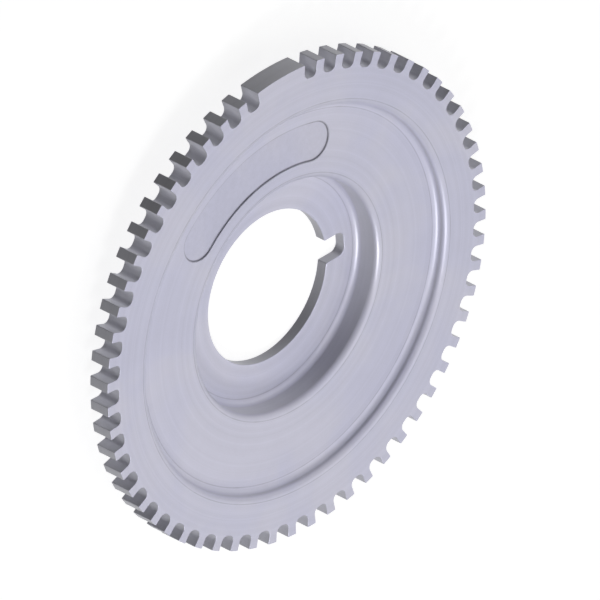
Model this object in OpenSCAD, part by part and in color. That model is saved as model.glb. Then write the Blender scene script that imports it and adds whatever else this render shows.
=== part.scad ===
// Reluctor wheel: a one-piece steel timing disc with a toothed rim, a dished web and a keyed bore.
// It lies on the back face of its hub, on z = 0, with the dished side up and the bore along +Z.

/* [Toothed rim] */
// Diameter over the tooth tips
tip_d = 160; // [150:1:180]
// Thickness of the rim and its teeth
rim_t = 7.5; // [6:0.25:12]
// Equal tooth positions round the rim
tooth_count = 60; // [48:1:72]
// Neighbouring slots left uncut, which makes the one long tooth
missing_slots = 2; // [1:1:4]
// Width of the slot between two teeth
slot_w = 5; // [3:0.25:6]
// Depth of a slot below the tooth tips
slot_depth = 5; // [3:0.5:8]
// Radius in the two bottom corners of a slot
slot_corner_r = 2; // [0.5:0.25:2.5]

/* [Dished web] */
// Diameter of the step from the rim face down to the web
dish_d = 126; // [116:1:136]
// Thickness of the web, whose back is flush with the back of the rim
web_t = 3.75; // [2.5:0.25:5]
// Radius of the fillets along every turned step
fillet_r = 2; // [1:0.25:2.5]

/* [Hub] */
// Diameter of the round well in the middle of the web
well_d = 76; // [72:1:84]
// Depth of the well below the face of the web
well_depth = 8.75; // [5:0.25:16]
// Thickness of the plate at the bottom of the well
hub_t = 3.75; // [2.5:0.25:6]
// Thickness of the wall round the well
well_wall = 3.75; // [2.5:0.25:6]

/* [Bore and keyway] */
// Diameter of the bore
bore_d = 50; // [36:0.5:52]
// Width of the keyway
key_w = 8; // [5:0.5:12]
// Depth of the keyway beyond the bore
key_depth = 7.5; // [4:0.5:9]
// Radius in the two far corners of the keyway
key_corner_r = 2.5; // [0.5:0.25:2.5]
// Angle from the middle of the long tooth round to the keyway
key_turn = 90; // [0:1:180]

/* [Marking pocket] */
// Land between the pocket and the fillets on each side of the web
pocket_land = 4; // [2:0.5:7]
// Depth of the pocket in the web
pocket_depth = 0.5; // [0.25:0.25:1.5]
// Angle between the centres of the pocket's round ends
pocket_span = 60; // [20:1:120]
// Angle from the middle of the long tooth to the middle of the pocket
pocket_turn = 13; // [-60:1:60]

/* [Hidden] */
$fn = 144;
steel = [0.75, 0.75, 0.81];
long_tooth_angle = 180;
// How far a cut runs past the face that it opens
cut_margin = 1;
// Straight pieces in the arc of one turned fillet
arc_steps = 8;

tip_r = tip_d / 2;
root_r = tip_r - slot_depth;
bore_r = bore_d / 2;
well_r = well_d / 2;
dish_r = dish_d / 2;
boss_r = well_r + well_wall;

web_top = hub_t + well_depth;
rim_back = web_top - web_t;
rim_top = rim_back + rim_t;

tooth_pitch = 360 / tooth_count;
slot_count = tooth_count - missing_slots;
first_slot_angle = long_tooth_angle + (missing_slots + 1) / 2 * tooth_pitch;

// Flat width of the web, between the toes of its two fillets
web_inner_r = well_r + step_reach(well_depth);
web_outer_r = dish_r - step_reach(rim_top - web_top);
pocket_r = (web_inner_r + web_outer_r) / 2;
pocket_w = web_outer_r - web_inner_r - 2 * pocket_land;

// Angle that each of a step's two fillets turns through.
// A step lower than two fillets has no upright wall: its arcs meet half way up.
function fillet_turn(height) = height < 2 * fillet_r ? acos(1 - height / (2 * fillet_r)) : 90;

// How far a step of this height spreads to each side of its wall
function step_reach(height) = fillet_r * sin(fillet_turn(height));

function arc(centre, start_angle, end_angle) = [
    for (i = [0 : arc_steps])
        let (angle = start_angle + (end_angle - start_angle) * i / arc_steps)
            centre + fillet_r * [cos(angle), sin(angle)]
];

// Line of a filleted step at radius wall_r, from its foot on z = low out to its crest on z = high
function step_line(wall_r, low, high) =
    let (
        turn = fillet_turn(high - low),
        reach = step_reach(high - low),
        foot_arc = arc([wall_r - reach, low + fillet_r], -90, turn - 90),
        crest_arc = arc([wall_r + reach, high - fillet_r], turn + 90, 90),
        first = turn < 90 ? 1 : 0
    )
    concat(foot_arc, [for (i = [first : arc_steps]) crest_arc[i]]);

function reversed(points) = [for (i = [len(points) - 1 : -1 : 0]) points[i]];

// Half section of the blank as it is turned, with the bore on its left
module blank_section() {
    polygon(concat(
        [[bore_r, 0]],
        step_line(boss_r, 0, rim_back),
        [[tip_r, rim_back], [tip_r, rim_top]],
        reversed(step_line(dish_r, web_top, rim_top)),
        reversed(step_line(well_r, hub_t, web_top)),
        [[bore_r, hub_t]]
    ));
}

// Slot outline that stands on y = 0 and opens towards +Y, with round bottom corners
module slot_outline(width, corner_r, length) {
    r = min(corner_r, width / 2);
    translate([-width / 2, r]) square([width, length - r]);
    if (width > 2 * r) {
        translate([r - width / 2, 0]) square([width - 2 * r, r]);
    }
    for (side = [-1, 1]) {
        translate([side * (width / 2 - r), r]) circle(r);
    }
}

module tooth_slots() {
    for (i = [0 : slot_count - 1]) {
        rotate([0, 0, first_slot_angle + i * tooth_pitch - 90])
            translate([0, root_r, rim_back - cut_margin])
                linear_extrude(rim_t + 2 * cut_margin)
                    slot_outline(slot_w, slot_corner_r, slot_depth + cut_margin);
    }
}

module keyway() {
    rotate([0, 0, long_tooth_angle - key_turn + 90])
        translate([0, -bore_r - key_depth, -cut_margin])
            linear_extrude(hub_t + 2 * cut_margin)
                slot_outline(key_w, key_corner_r, key_depth + key_w);
}

module marking_pocket() {
    cut_h = pocket_depth + cut_margin;
    rotate([0, 0, long_tooth_angle + pocket_turn - pocket_span / 2])
        translate([0, 0, web_top - pocket_depth]) {
            rotate_extrude(angle = pocket_span)
                translate([pocket_r - pocket_w / 2, 0]) square([pocket_w, cut_h]);
            for (end_angle = [0, pocket_span]) {
                rotate([0, 0, end_angle])
                    translate([pocket_r, 0, 0]) cylinder(h = cut_h, d = pocket_w);
            }
        }
}

module reluctor_wheel() {
    color(steel)
        difference() {
            rotate_extrude() blank_section();
            tooth_slots();
            keyway();
            marking_pocket();
        }
}

reluctor_wheel();
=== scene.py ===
import math

import bpy
from mathutils import Matrix, Vector
from mathutils.geometry import delaunay_2d_cdt


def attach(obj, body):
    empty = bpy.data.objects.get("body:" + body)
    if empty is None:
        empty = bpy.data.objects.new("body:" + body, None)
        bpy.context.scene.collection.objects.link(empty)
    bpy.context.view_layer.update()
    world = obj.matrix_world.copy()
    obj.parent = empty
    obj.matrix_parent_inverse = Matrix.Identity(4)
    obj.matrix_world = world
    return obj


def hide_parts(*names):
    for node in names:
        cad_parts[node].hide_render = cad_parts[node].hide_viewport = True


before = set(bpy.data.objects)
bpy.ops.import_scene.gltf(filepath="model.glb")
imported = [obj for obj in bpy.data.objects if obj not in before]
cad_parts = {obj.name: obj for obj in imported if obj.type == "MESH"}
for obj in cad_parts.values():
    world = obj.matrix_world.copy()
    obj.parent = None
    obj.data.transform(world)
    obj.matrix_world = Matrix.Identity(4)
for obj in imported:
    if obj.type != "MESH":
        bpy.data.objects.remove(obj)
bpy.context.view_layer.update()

print("stage 1: packed frame loaded")

mm = 0.001

# sizes in mm, angles in degrees round the axis from +X
wheel = {
    "name": "reluctorWheel",
    "tipRadius": 79.998,       # half of 160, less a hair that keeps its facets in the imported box
    "rootRadius": 75.0,
    "positions": 60,           # equal tooth positions round the rim
    "slotsLeftUncut": 2,       # neighbouring ones, which makes the long tooth
    "longToothAngle": 180.0,
    "slotWidth": 5.0,
    "slotCorner": 2.0,         # radius in the two bottom corners
    "rimThickness": 7.5,
    "webThickness": 3.75,
    "wellDepth": 8.75,         # below the face of the web
    "hubThickness": 3.75,
    "dishRadius": 63.0,        # where the rim face steps down to the web
    "wellRadius": 38.0,
    "wellWall": 3.75,
    "fillet": 2.0,
    "boreRadius": 25.0,
    "keyWidth": 8.0,
    "keyReach": 32.5,          # from the axis to the bottom of the keyway
    "keyCorner": 2.5,
    "keyAngle": 90.0,
    "pocketRadius": 50.5,      # to the middle of the marking pocket
    "pocketWidth": 13.0,
    "pocketDepth": 0.5,
    "pocketAngle": 193.0,
    "pocketSpan": 60.0,        # between the centres of its round ends
    # radii left on the edges by deburring
    "toothCorner": 0.24,
    "toothEdge": 0.15,
    "boreCorner": 0.4,
    "boreEdge": 0.25,
    "pocketEdge": 0.14,
    # marks of use and making
    "pocketShadeReach": 0.35,       # how far the painted shade reaches from the foot of the pocket's wall
    "seamWidth": 0.2,          # of the darker line along the two outer tangent edges of a step's fillets and along the pocket's brim
    "seamTone": 0.45,          # how dark that line is, from 0 to 1
    # points round each kind of curve
    "ringPoints": 360,
    "filletSteps": 12,
    "edgeSteps": 3,
    "mouthSteps": 4,
    "cornerSteps": 8,
    "boreSteps": 340,
    "pocketSideSteps": 66,
    "pocketEndSteps": 36,
    "tipStep": 0.6,            # degrees between two points on a tooth tip
    "fewestTipSteps": 4,
    # rings of points on the level faces, which keep their triangles compact
    "rimRings": (73.4, 69.2),
    "webRings": (58.6, 42.4),  # outside and inside the pocket
    "hubRing": 33.8,
    "backRings": (51.2, 58.6, 66.0, 73.4),
}

# heights above the floor that follow
hubFace = wheel["hubThickness"]
webFace = hubFace + wheel["wellDepth"]
rimBack = webFace - wheel["webThickness"]
rimFace = rimBack + wheel["rimThickness"]


def polar(radius, degrees):
    angle = math.radians(degrees)
    return radius * math.cos(angle), radius * math.sin(angle)


def bend(centre, radius, start, end, steps, outward=1):
    # points of an arc as (x, y, normal x, normal y), the normal away from the centre or, for -1, towards it
    points = []
    for i in range(steps + 1):
        dx, dy = polar(1, start + (end - start) * i / steps)
        points.append((centre[0] + radius * dx, centre[1] + radius * dy, outward * dx, outward * dy))
    return points


def turned(points, degrees):
    # a flat outline turned about the axis
    c, s = polar(1, degrees)
    return [(x * c - y * s, x * s + y * c, nx * c - ny * s, nx * s + ny * c) for x, y, nx, ny in points]


def slotShape(inset, width, cornerRadius, bottom, rim, mouthRadius):
    # one slot along +X, listed from its lower mouth corner to its upper one, with both corners rounded;
    # where its bottom lies beyond the rim it is a keyway, open towards the axis
    half = width / 2
    out = 1 if rim > bottom else -1
    mouthY = half + mouthRadius
    mouthX = math.sqrt((rim - out * mouthRadius) ** 2 - mouthY ** 2)
    end = math.degrees(math.atan2(mouthY, mouthX))
    start = -end if out > 0 else 180 - end
    mouth = bend((mouthX, -mouthY), mouthRadius - inset, start, 90, wheel["mouthSteps"])
    corner = bend((bottom + out * cornerRadius, cornerRadius - half), cornerRadius + inset,
                  270, 270 - out * 90, wheel["cornerSteps"], -1)
    lower = mouth + corner
    return lower + [(x, -y, nx, -ny) for x, y, nx, ny in reversed(lower)]


def toothSlot(inset):
    w = wheel
    return slotShape(inset, w["slotWidth"], w["slotCorner"], w["rootRadius"],
                     w["tipRadius"], w["toothCorner"])


def keySlot(inset):
    w = wheel
    return slotShape(inset, w["keyWidth"], w["keyCorner"], w["keyReach"],
                     w["boreRadius"], w["boreCorner"])


def mouthAngle(slot):
    # from the middle of a slot to the end of its mouth corner
    x, y = slot[-1][:2]
    return math.degrees(math.atan2(y, x))


def toothOutline(inset):
    # the toothed rim, drawn back into the metal by inset
    pitch = 360 / wheel["positions"]
    slots = wheel["positions"] - wheel["slotsLeftUncut"]
    first = wheel["longToothAngle"] + (wheel["slotsLeftUncut"] + 1) / 2 * pitch
    slot = toothSlot(inset)
    mouth = mouthAngle(slot)  # the same at every inset
    outline = []
    for i in range(slots):
        centre = first + i * pitch
        gap = pitch if i < slots - 1 else pitch * (1 + wheel["slotsLeftUncut"])
        steps = max(wheel["fewestTipSteps"], round((gap - 2 * mouth) / wheel["tipStep"]))
        tip = bend((0, 0), wheel["tipRadius"] - inset, centre + mouth, centre + gap - mouth, steps)
        outline += turned(slot, centre) + tip[1:-1]
    return outline


def boreOutline(inset):
    # the bore with its keyway, drawn back into the metal by inset
    slot = keySlot(inset)
    mouth = mouthAngle(slot)
    middle = wheel["keyAngle"]
    bore = bend((0, 0), wheel["boreRadius"] + inset, middle + mouth, middle + 360 - mouth,
                wheel["boreSteps"], -1)
    return turned(slot, middle) + bore[1:-1]


def pocketOutline(inset):
    # inset > 0 lies on the land outside the pocket
    w = wheel
    middle = w["pocketRadius"]
    half = w["pocketWidth"] / 2 + inset
    end = w["pocketSpan"] / 2
    outer = bend((0, 0), middle + half, -end, end, w["pocketSideSteps"], -1)
    farEnd = bend(polar(middle, end), half, end, end + 180, w["pocketEndSteps"], -1)
    inner = bend((0, 0), middle - half, end, -end, w["pocketSideSteps"])
    nearEnd = bend(polar(middle, -end), half, 180 - end, 360 - end, w["pocketEndSteps"], -1)
    return turned(outer[:-1] + farEnd[:-1] + inner[:-1] + nearEnd[:-1], w["pocketAngle"])


def stepProfile(wall, low, high, side):
    # the two fillets of a turned step from its foot up to its crest, as (r, z, nr, nz, edge mark and
    # painted shade);
    # side is 1 on the back of the wheel and -1 on its face
    r = wheel["fillet"]
    turn = math.degrees(math.acos(1 - (high - low) / (2 * r))) if high - low < 2 * r else 90
    reach = r * math.sin(math.radians(turn))
    foot = bend((wall - reach, low + r), r, -90, turn - 90, wheel["filletSteps"], side)
    crest = bend((wall + reach, high - r), r, turn + 90, 90, wheel["filletSteps"], -side)
    if turn < 90:
        crest = crest[1:]  # the two arcs meet half way up
    edge = reach + wheel["seamWidth"]
    profile = [(wall - edge, low, 0, -side)] + foot + crest + [(wall + edge, high, 0, -side)]
    seams = (1, len(profile) - 2)
    return [(*point, -wheel["seamTone"] if i in seams else 0) for i, point in enumerate(profile)]


def levelRing(radius, height, up=1):
    return radius, height, 0, up, 0


def quarterTurn():
    # (cosine, sine) round one rounded edge
    steps = wheel["edgeSteps"]
    return [polar(1, 90 * k / steps) for k in range(steps + 1)]


def edgeLevels(low, high, edge):
    # up a wall from z low to z high, with a rounded edge at each end that is rubbed in its middle
    lower = [(edge * (1 - s), low + edge * (1 - c), s, -c) for c, s in quarterTurn()]
    upper = [(edge * (1 - s), high - edge * (1 - c), s, c) for s, c in quarterTurn()]
    rubbed = [0] + [1] * (wheel["edgeSteps"] - 1) + [0]
    return [(*level, wearAndShade) for level, wearAndShade in zip(lower + upper, rubbed + rubbed)]


def pocketLevels():
    # from the land down over the pocket's brim to its floor
    edge, floor = wheel["pocketEdge"], webFace - wheel["pocketDepth"]
    land = (edge + wheel["seamWidth"], webFace, 0, 1, 0)
    brim = [(edge * (1 - s), webFace - edge * (1 - c), s, c, -wheel["seamTone"]) for c, s in quarterTurn()]
    # painted shade along the foot of the pocket's wall, fading out on the floor
    foot = [(-edge * (1 - c), floor + edge * (1 - s), c, s, -1) for c, s in quarterTurn()]
    shadeEnd = (-edge - wheel["pocketShadeReach"], floor, 0, 1, 0)
    return [land] + brim + foot + [shadeEnd]


turnedKind, cutKind, pocketKind = 0, 1, 2    # in the order of the finishes below
onRadius = 0.005       # mm off a turned radius that still count as on it
insideOnly = 1         # asks delaunay_2d_cdt for the faces inside the outlines
weldDistance = 1e-7


class Builder:
    def __init__(self):
        self.spots, self.normals, self.faces, self.kinds, self.wearAndShade = [], [], [], [], []

    def point(self, x, y, z, normal, wearAndShade):
        self.spots.append((x * mm, y * mm, z * mm))
        self.normals.append(normal)
        self.wearAndShade.append(wearAndShade)
        return len(self.spots) - 1

    def face(self, corners, kind):
        self.faces.append(corners)
        self.kinds.append(kind)

    def strip(self, rings, kind, flip=False):
        # faces between rings of points, of one kind or of one for each stretch of the ring
        for a, b in zip(rings, rings[1:]):
            count = len(a)
            for i in range(count):
                j = (i + 1) % count
                quad = (a[i], a[j], b[j], b[i])
                self.face(quad[::-1] if flip else quad, kind if isinstance(kind, int) else kind[i])

    def turn(self, profile):
        # rings of points from a half section, one for each (r, z, nr, nz, edge mark and painted shade)
        rings = []
        count = wheel["ringPoints"]
        for r, z, nr, nz, wearAndShade in profile:
            ring = []
            for i in range(count):
                x, y = polar(1, i * 360 / count)
                ring.append(self.point(r * x, r * y, z, (nr * x, nr * y, nz), wearAndShade))
            rings.append(ring)
        return rings

    def wall(self, outline, levels):
        # rings of points up a wall, one for each (inset, z, share of the outline's normal, nz, edge mark
        # and painted shade)
        rings = []
        for inset, z, side, nz, wearAndShade in levels:
            ring = []
            for x, y, nx, ny in outline(inset):
                ring.append(self.point(x, y, z, (nx * side, ny * side, nz), wearAndShade))
            rings.append(ring)
        return rings

    def flat(self, loops, kind, up):
        # a level face between closed loops of points: the first one outside, the others holes in it
        spots, outlines, owners = [], [], []
        for loop in loops:
            start = len(spots)
            spots += [Vector((self.spots[i][0] / mm, self.spots[i][1] / mm)) for i in loop]
            owners += loop
            outline = list(range(start, start + len(loop)))
            area = sum(spots[i].cross(spots[j]) for i, j in zip(outline, outline[1:] + outline[:1]))
            outlines.append(outline if area > 0 else outline[::-1])
        result = delaunay_2d_cdt(spots, [], outlines, insideOnly, weldDistance)
        made, _, triangles, sources, _, parents = result
        if len(made) != len(spots):
            raise RuntimeError("a level face gained or lost points")
        for corners, parent in zip(triangles, parents):
            if parent != [0]:
                continue  # inside a hole
            a, b, c = (owners[sources[i][0]] for i in corners)
            self.face((a, b, c) if up else (a, c, b), kind)

    def mesh(self, name):
        data = bpy.data.meshes.new(name)
        data.from_pydata(self.spots, [], self.faces)
        data.polygons.foreach_set("use_smooth", [True] * len(self.faces))
        data.polygons.foreach_set("material_index", self.kinds)
        # above 0 where an edge is rubbed bright, below 0 along a darker line and, down to -1, as painted
        # shade in the pocket's bottom corner
        attribute = data.attributes.new("edgeWearAndShade", "FLOAT", "POINT")
        attribute.data.foreach_set("value", self.wearAndShade)
        # 0 on the level faces, 1 on the walls, in between round the fillets
        attribute = data.attributes.new("lean", "FLOAT", "POINT")
        attribute.data.foreach_set("value", [1 - normal[2] ** 2 for normal in self.normals])
        data.validate()
        data.normals_split_custom_set_from_vertices(self.normals)
        data.update()
        return data


def wallKinds(outline, radius, ends):
    # turned where all, or any, of a stretch's two ends lie on the turned radius, and cut elsewhere
    near = [abs(math.hypot(x, y) - radius) < onRadius for x, y, nx, ny in outline]
    return [turnedKind if ends(pair) else cutKind for pair in zip(near, near[1:] + near[:1])]


def buildWheel():
    w = wheel
    b = Builder()
    # toothed rim
    rim = b.wall(toothOutline, edgeLevels(rimBack, rimFace, w["toothEdge"]))
    b.strip(rim, wallKinds(toothOutline(0), w["tipRadius"], all))
    # rim face and the step down to the web
    dish = stepProfile(w["dishRadius"], webFace, rimFace, -1)[::-1]
    rimLevels = [levelRing(radius, rimFace) for radius in w["rimRings"]]
    outerFace = b.turn(rimLevels + dish + [levelRing(w["webRings"][0], webFace)])
    b.strip(outerFace, turnedKind)
    b.flat([rim[-1], outerFace[0]], turnedKind, True)
    # well
    well = stepProfile(w["wellRadius"], hubFace, webFace, -1)[::-1]
    innerFace = b.turn([levelRing(w["webRings"][1], webFace)] + well + [levelRing(w["hubRing"], hubFace)])
    b.strip(innerFace, turnedKind)
    # marking pocket
    pocket = b.wall(pocketOutline, pocketLevels())
    b.strip(pocket[:2], turnedKind)
    b.strip(pocket[1:], pocketKind)
    b.flat([outerFace[-1], innerFace[0], pocket[0]], turnedKind, True)
    b.flat([pocket[-1]], pocketKind, True)
    # bore and keyway
    bore = b.wall(boreOutline, edgeLevels(0, hubFace, w["boreEdge"]))
    b.strip(bore, wallKinds(boreOutline(0), w["boreRadius"], any), True)
    b.flat([innerFace[-1], bore[-1]], turnedKind, True)
    # back
    boss = stepProfile(w["wellRadius"] + w["wellWall"], 0, rimBack, 1)
    backLevels = [levelRing(radius, rimBack, -1) for radius in w["backRings"]]
    back = b.turn([levelRing(w["hubRing"], 0, -1)] + boss + backLevels)
    b.strip(back, turnedKind)
    b.flat([back[0], bore[0]], turnedKind, False)
    b.flat([rim[0], back[-1]], turnedKind, False)
    return b


builder = buildWheel()
piece = bpy.data.objects.new(wheel["name"], builder.mesh(wheel["name"]))
bpy.context.scene.collection.objects.link(piece)
print("stage 2: wheel built,", len(builder.faces), "faces")


def addNode(tree, kind, inputs=None, **settings):
    # inputs holds plain values or the sockets that feed them
    made = tree.nodes.new("ShaderNode" + kind)
    for key, value in settings.items():
        setattr(made, key, value)
    for key, value in (inputs or {}).items():
        if isinstance(value, bpy.types.NodeSocket):
            tree.links.new(value, made.inputs[key])
        else:
            made.inputs[key].default_value = value
    return made


def maths(tree, operation, *values):
    return addNode(tree, "Math", dict(enumerate(values)), operation=operation).outputs[0]


def spread(tree, socket, low, high, toLow, toHigh):
    # low to high brought to toLow to toHigh, and held there outside that range
    inputs = {"Value": socket, "From Min": low, "From Max": high, "To Min": toLow, "To Max": toHigh}
    return addNode(tree, "MapRange", inputs).outputs["Result"]


def blended(tree, factor, first, second):
    # the numbers are the colour sockets of a mix
    return addNode(tree, "Mix", {0: factor, 6: first, 7: second}, data_type="RGBA").outputs[2]


def linear(colour):
    # the screen's own curve undone
    return tuple(c / 12.92 if c <= 0.04045 else ((c + 0.055) / 1.055) ** 2.4 for c in colour)


def shade(colour, share):
    return (*(min(1.0, c * share) for c in linear(colour)), 1)


# colours as they show on a screen, sizes in metres
steel = {
    "colour": (0.758, 0.758, 0.828),
    "oilColour": (0.7655, 0.7625, 0.819),  # where an old oil film lies on the faces
    "wallShadeColour": (0.735, 0.735, 0.766),   # painted wall shade: the walls get a darker, greyer copy of the steel colour
    "metallic": 0.26,
    "wallMetallic": 0.02,
    "wallShadeSharpness": 12.0,                 # how late a fillet takes on the painted wall shade
    "facingRoughness": 0.18,               # what the level faces have more of it
    "facingLean": 0.2,                     # and the lean where that ends
    "toneSpread": 0.17,                    # darkest to lightest tool mark and patch
    "edgeGain": 1.1,                       # rubbed edges against the faces
    "lineAndShadeTone": 0.22,                    # how dark the darker lines and the painted shade in the pocket's bottom corner are, against the faces
    "rubbedPolish": 0.1,                   # how much smoother a rubbed edge is
    "heightShare": 0.83,                   # how fast the turned marks pass up a wall
    "lineShare": 0.02,                     # how fast the marks in a cut change along the axis
    "markRoughness": 0.55,
    "markDetail": {"fine": 2.0, "coarse": 3.0},
    # size, detail, roughness and distortion of the other layers
    "lumps": {
        "patch": (0.03, 4.0, 0.5, 0.4),
        "blotch": (0.006, 3.0, 0.6, 0.0),
        "grain": (0.00045, 2.0, 0.5, 0.0),
    },
    # how much each layer adds
    "toneWeights": {"fine": 0.5, "coarse": 0.8, "patch": 0.7, "blotch": 0.4, "grain": 0.35},
    "roughWeights": {"fine": 0.1, "patch": -0.16, "blotch": 0.1},
    "reliefWeights": {"fine": 1.0, "grain": 0.3, "coarse": 0.6},
    # a layer's range, and what it is brought to
    "oilPatches": (0.45, 0.62, 0.0, 1.0),
    "rubbedPatches": (0.35, 0.6, 0.45, 1.0),
    "lineAndShadePatches": (0.3, 0.65, 1.0, 0.6),
}

finishes = {
    # marks: how the tool left them; fine and coarse: metres between them; bump: metres of relief;
    # wall tone: how light the painted shade on its walls is against the wall colour
    "turnedSteel": {"marks": "round", "fine": 0.00032, "coarse": 0.0021, "roughness": 0.43,
                    "bump": 0.000006, "wallShadeTone": 1.0},
    # its walls are lifted to 1.2: painted light on the slot and keyway walls, which lie in shade
    "cutSteel": {"marks": "straight", "fine": 0.00028, "coarse": 0.0012, "roughness": 0.47,
                 "bump": 0.000005, "wallShadeTone": 1.2},
    "pocketSteel": {"marks": "pressed", "fine": 0.00035, "coarse": 0.0016, "roughness": 0.52,
                    "bump": 0.000005, "wallShadeTone": 1.0},
}


def toolMarks(tree, place, marks, pitch, detail):
    # rings on turned faces, lines along the axis in cuts, grain in the pocket
    settings = {"Scale": 1 / pitch, "Detail": detail, "Roughness": steel["markRoughness"]}
    if marks == "round":
        level = addNode(tree, "VectorMath", {0: place, 1: (1, 1, 0)}, operation="MULTIPLY").outputs[0]
        radius = addNode(tree, "VectorMath", {0: level}, operation="LENGTH").outputs["Value"]
        height = addNode(tree, "SeparateXYZ", {0: place}).outputs["Z"]
        path = maths(tree, "MULTIPLY_ADD", height, steel["heightShare"], radius)
        return addNode(tree, "TexNoise", {"W": path, **settings}, noise_dimensions="1D").outputs["Fac"]
    squeeze = (1, 1, steel["lineShare"]) if marks == "straight" else (1, 1, 1)
    along = addNode(tree, "VectorMath", {0: place, 1: squeeze}, operation="MULTIPLY").outputs[0]
    return addNode(tree, "TexNoise", {"Vector": along, **settings}).outputs["Fac"]


def lumps(tree, place, size, detail, roughness, distortion):
    inputs = {"Vector": place, "Scale": 1 / size, "Detail": detail, "Roughness": roughness,
              "Distortion": distortion}
    return addNode(tree, "TexNoise", inputs).outputs["Fac"]


def layered(tree, start, layers, weights):
    # start, with each layer's rise above its middle added by weight
    total = start
    for name, weight in weights.items():
        rise = maths(tree, "SUBTRACT", layers[name], 0.5)
        total = maths(tree, "MULTIPLY_ADD", rise, weight, total)
    return total


def toned(tree, tone, colour, share=1.0):
    # a colour between its darkest and its lightest mark
    half = steel["toneSpread"] / 2
    return blended(tree, tone, shade(colour, share * (1 - half)), shade(colour, share * (1 + half)))


def makeSteel(name):
    finish = finishes[name]
    material = bpy.data.materials.new(name)
    material.use_nodes = True
    tree = material.node_tree
    shader = tree.nodes["Principled BSDF"]
    place = addNode(tree, "TexCoord").outputs["Object"]
    layers = {}
    for mark, detail in steel["markDetail"].items():
        layers[mark] = toolMarks(tree, place, finish["marks"], finish[mark], detail)
    for layer, facts in steel["lumps"].items():
        layers[layer] = lumps(tree, place, *facts)
    # faces, with patches of oil film, and walls with painted shade
    tone = layered(tree, 0.5, layers, steel["toneWeights"])
    film = spread(tree, layers["patch"], *steel["oilPatches"])
    faces = blended(tree, film, toned(tree, tone, steel["colour"]), toned(tree, tone, steel["oilColour"]))
    walls = toned(tree, tone, steel["wallShadeColour"], finish["wallShadeTone"])
    lean = addNode(tree, "Attribute", attribute_name="lean").outputs["Fac"]
    # painted shade: the walls, and the fillets near them, take the darker wall colour and less metallic
    wallShadeShare = maths(tree, "POWER", lean, steel["wallShadeSharpness"])
    metal = blended(tree, wallShadeShare, faces, walls)
    # rubbed bright along the edges, darker along a line, and painted shade in the pocket's bottom corner
    wearAndShade = addNode(tree, "Attribute", attribute_name="edgeWearAndShade").outputs["Fac"]
    rubbed = maths(tree, "MULTIPLY", maths(tree, "MAXIMUM", wearAndShade, 0.0),
                   spread(tree, layers["blotch"], *steel["rubbedPatches"]))
    metal = blended(tree, rubbed, metal, shade(steel["colour"], steel["edgeGain"]))
    darkened = maths(tree, "MAXIMUM", maths(tree, "MULTIPLY", wearAndShade, -1.0), 0.0)
    linesAndCreaseShade = maths(tree, "MULTIPLY", darkened, spread(tree, layers["blotch"], *steel["lineAndShadePatches"]))
    # the darker lines and the painted crease shade take the oil colour darkened
    metal = blended(tree, linesAndCreaseShade, metal, shade(steel["oilColour"], steel["lineAndShadeTone"]))
    tree.links.new(metal, shader.inputs["Base Color"])
    # tool marks scatter a little, oil film and rubbed edges are smoother, level faces are duller
    rough = layered(tree, finish["roughness"], layers, steel["roughWeights"])
    rough = maths(tree, "MULTIPLY_ADD", rubbed, -steel["rubbedPolish"], rough)
    facing = spread(tree, lean, 0.0, steel["facingLean"], steel["facingRoughness"], 0.0)
    tree.links.new(maths(tree, "ADD", rough, facing), shader.inputs["Roughness"])
    metallic = spread(tree, wallShadeShare, 0.0, 1.0, steel["metallic"], steel["wallMetallic"])
    tree.links.new(metallic, shader.inputs["Metallic"])
    relief = layered(tree, 0.0, layers, steel["reliefWeights"])
    bump = addNode(tree, "Bump", {"Height": relief, "Strength": 1.0, "Distance": finish["bump"]})
    tree.links.new(bump.outputs["Normal"], shader.inputs["Normal"])
    return material


for name in finishes:
    piece.data.materials.append(makeSteel(name))
print("stage 3: steel finishes made")

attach(piece, "root")
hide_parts("reluctor_wheel")

cameraFacts = {
    "tilt": 52.0,            # from the wheel's axis, degrees
    "heading": -133.5,       # of the side that it looks from
    "roll": 26.4,
    "width": 0.17982,        # of the picture, metres
    "pixels": 600,           # across the picture
    "shiftRight": 3.17,      # pixels from the axis point of the rim face to the middle of the picture
    "shiftUp": 1.54,
    "distance": 0.6,
    "nearest": 0.01,
    "farthest": 20,
}


def setCamera():
    c = cameraFacts
    side = Vector((*polar(1, c["heading"]), 0))
    across = Vector((*polar(1, c["heading"] + 270), 0))
    axis = Vector((0, 0, 1))
    ct, st = polar(1, c["tilt"])
    towards = ct * axis + st * side  # from the wheel to the camera
    along = st * axis - ct * side
    cr, sr = polar(1, c["roll"])
    right = cr * along + sr * across
    up = cr * across - sr * along
    pixel = c["width"] / c["pixels"]
    aim = rimFace * mm * axis + c["shiftRight"] * pixel * right + c["shiftUp"] * pixel * up
    data = bpy.data.cameras.new("camera")
    data.type = "ORTHO"
    data.ortho_scale = c["width"]
    data.clip_start = c["nearest"]
    data.clip_end = c["farthest"]
    camera = bpy.data.objects.new("camera", data)
    bpy.context.scene.collection.objects.link(camera)
    place = Matrix((right, up, towards)).transposed().to_4x4()
    place.translation = aim + towards * c["distance"]
    camera.matrix_world = place
    bpy.context.scene.camera = camera


setCamera()

studio = {
    # heading and height above the floor in degrees, width, how bright its face is,
    # whether the steel mirrors it, whether it casts shadows
    "lamps": {
        "keyLamp": (305, 43, 0.35, 13.0, True, True),
        "keyFill": (305, 43, 0.35, 16.3, True, False),
        "leftPanel": (120, 24, 0.9, 4.7, False, False),
        "topPanel": (33, 75, 1.4, 1.13, True, True),
    },
    "lampDistance": 1.5,
    "roomLevel": 0.02,       # soft light from everywhere
    "floorTone": 0.33,
    "floorLift": 0.88,       # how much the paper is lifted towards white where it is seen
    "floorRadius": 3.0,
    "floorSides": 96,
    "floorGap": 0.00002,     # keeps the paper clear of the back of the hub
}


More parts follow.
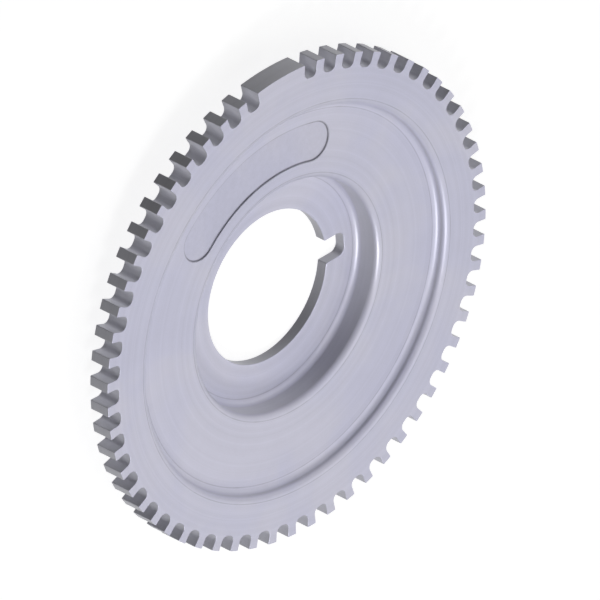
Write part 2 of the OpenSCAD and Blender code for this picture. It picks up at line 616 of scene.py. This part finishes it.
def setLamps():
    # the lamps without a shadow leave the floor out, so that it keeps the wheel's shadow
    wheelOnly = bpy.data.collections.new("wheelOnly")
    wheelOnly.objects.link(piece)
    for name, (heading, height, size, level, mirrored, shadowed) in studio["lamps"].items():
        data = bpy.data.lights.new(name, "AREA")
        data.shape = "SQUARE"
        data.size = size
        data.energy = level * math.pi * size * size
        data.use_shadow = shadowed
        lamp = bpy.data.objects.new(name, data)
        flat, rise = polar(1, height)
        direction = Vector((*polar(flat, heading), rise))
        lamp.location = direction * studio["lampDistance"]
        lamp.rotation_euler = direction.to_track_quat("Z", "Y").to_euler()
        lamp.visible_glossy = mirrored
        if not shadowed:
            lamp.light_linking.receiver_collection = wheelOnly
        bpy.context.scene.collection.objects.link(lamp)


def seenRays(tree):
    # 1 for rays that show the backdrop: straight from the camera, or by way of metal or glass
    path = addNode(tree, "LightPath").outputs
    direct = maths(tree, "MAXIMUM", path["Is Camera Ray"], path["Is Glossy Ray"])
    return maths(tree, "MAXIMUM", direct, path["Is Transmission Ray"])


def setRoom():
    room = bpy.data.worlds.new("room")
    room.use_nodes = True
    tree = room.node_tree
    background = tree.nodes["Background"]
    background.inputs["Color"].default_value = (1, 1, 1, 1)
    level = studio["roomLevel"]
    strength = maths(tree, "MULTIPLY_ADD", seenRays(tree), 1 - level, level)
    tree.links.new(strength, background.inputs["Strength"])
    bpy.context.scene.world = room


def makePaper():
    paper = bpy.data.materials.new("paper")
    paper.use_nodes = True
    tree = paper.node_tree
    shader = tree.nodes["Principled BSDF"]
    tone = studio["floorTone"]
    shader.inputs["Base Color"].default_value = (tone, tone, tone, 1)
    shader.inputs["Roughness"].default_value = 1.0
    shader.inputs["Specular IOR Level"].default_value = 0.0
    shader.inputs["Emission Color"].default_value = (1, 1, 1, 1)
    lift = maths(tree, "MULTIPLY", seenRays(tree), studio["floorLift"])
    tree.links.new(lift, shader.inputs["Emission Strength"])
    return paper


def buildFloor():
    sides, height = studio["floorSides"], -studio["floorGap"]
    edge = [(*polar(studio["floorRadius"], 360 * i / sides), height) for i in range(sides)]
    triangles = [(0, 1 + i, 1 + (i + 1) % sides) for i in range(sides)]
    data = bpy.data.meshes.new("floor")
    data.from_pydata([(0, 0, height)] + edge, [], triangles)
    data.materials.append(makePaper())
    floor = bpy.data.objects.new("floor", data)
    bpy.context.scene.collection.objects.link(floor)


setLamps()
setRoom()
buildFloor()
bpy.context.scene.view_settings.view_transform = "Standard"
print("stage 4: camera, lamps, room and floor set")
